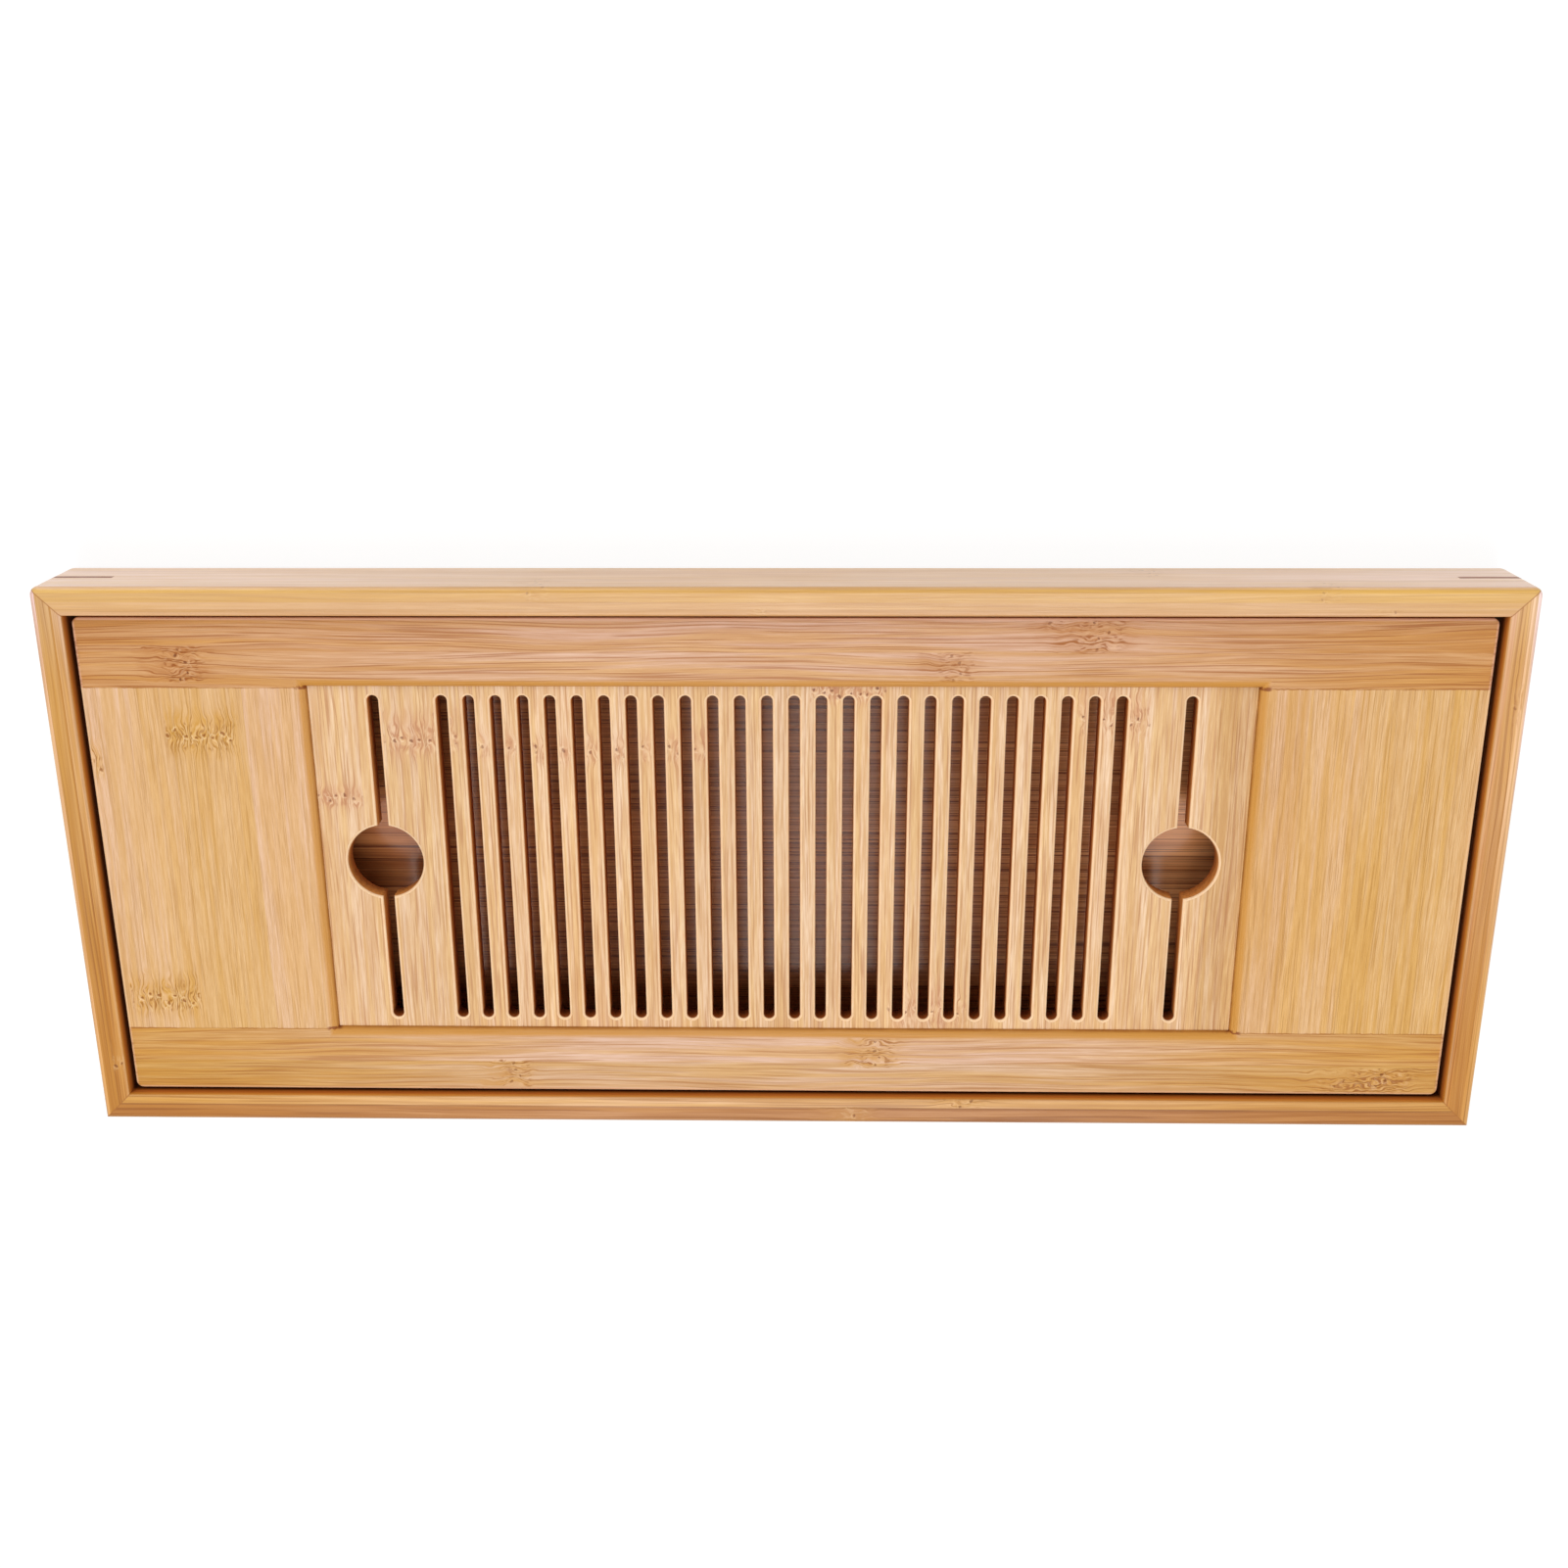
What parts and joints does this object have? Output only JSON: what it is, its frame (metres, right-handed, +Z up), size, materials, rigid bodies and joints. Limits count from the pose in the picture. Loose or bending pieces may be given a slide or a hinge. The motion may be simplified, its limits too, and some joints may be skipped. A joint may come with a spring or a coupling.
{
  "type": "tea tray",
  "caption": "Long bamboo tea tray: a shallow mitred box that catches spilt water, with a lift-off lid whose sunk board has drain slots and finger holes.",
  "frame": {"origin": "on the table, under the middle of the tray", "axes": "+Z up, X along the length of the tray, front of the tray facing -Y"},
  "size_m": [0.39, 0.155, 0.032],
  "materials": {
    "box_bamboo": "oiled golden bamboo, satin",
    "key_bamboo": "dark carbonised bamboo slip",
    "bottom_bamboo": "dark brown lacquered bamboo, laminated along its length",
    "ledge_bamboo": "brown lacquered bamboo strip",
    "sealant": "brown sealant bead, glossy",
    "foot_rubber": "soft black rubber, matt",
    "lid_rail_bamboo": "oiled bamboo, grain along its length, satin",
    "lid_board_bamboo": "oiled golden bamboo, grain across the tray, satin",
    "slotted_bamboo": "pale freshly cut bamboo, grain across the tray, satin"
  },
  "bodies": {
    "box": {"front_rail": "box_bamboo", "rear_rail": "box_bamboo", "left_rail": "box_bamboo", "right_rail": "box_bamboo", "front_left_key": "key_bamboo", "front_right_key": "key_bamboo", "rear_left_key": "key_bamboo", "rear_right_key": "key_bamboo", "bottom_board": "bottom_bamboo", "front_ledge": "ledge_bamboo", "rear_ledge": "ledge_bamboo", "left_ledge": "ledge_bamboo", "right_ledge": "ledge_bamboo", "seal_bead": "sealant", "front_left_foot": "foot_rubber", "front_right_foot": "foot_rubber", "rear_left_foot": "foot_rubber", "rear_right_foot": "foot_rubber"},
    "lid": {"lid_front_rail": "lid_rail_bamboo", "lid_rear_rail": "lid_rail_bamboo", "lid_left_board": "lid_board_bamboo", "lid_right_board": "lid_board_bamboo", "slotted_board": "slotted_bamboo"}
  },
  "joints": [
    {"name": "lid_lift", "type": "slide", "parent": "box", "child": "lid", "axis": [0, 0, 1], "range_m": [0, 0.045]}
  ]
}
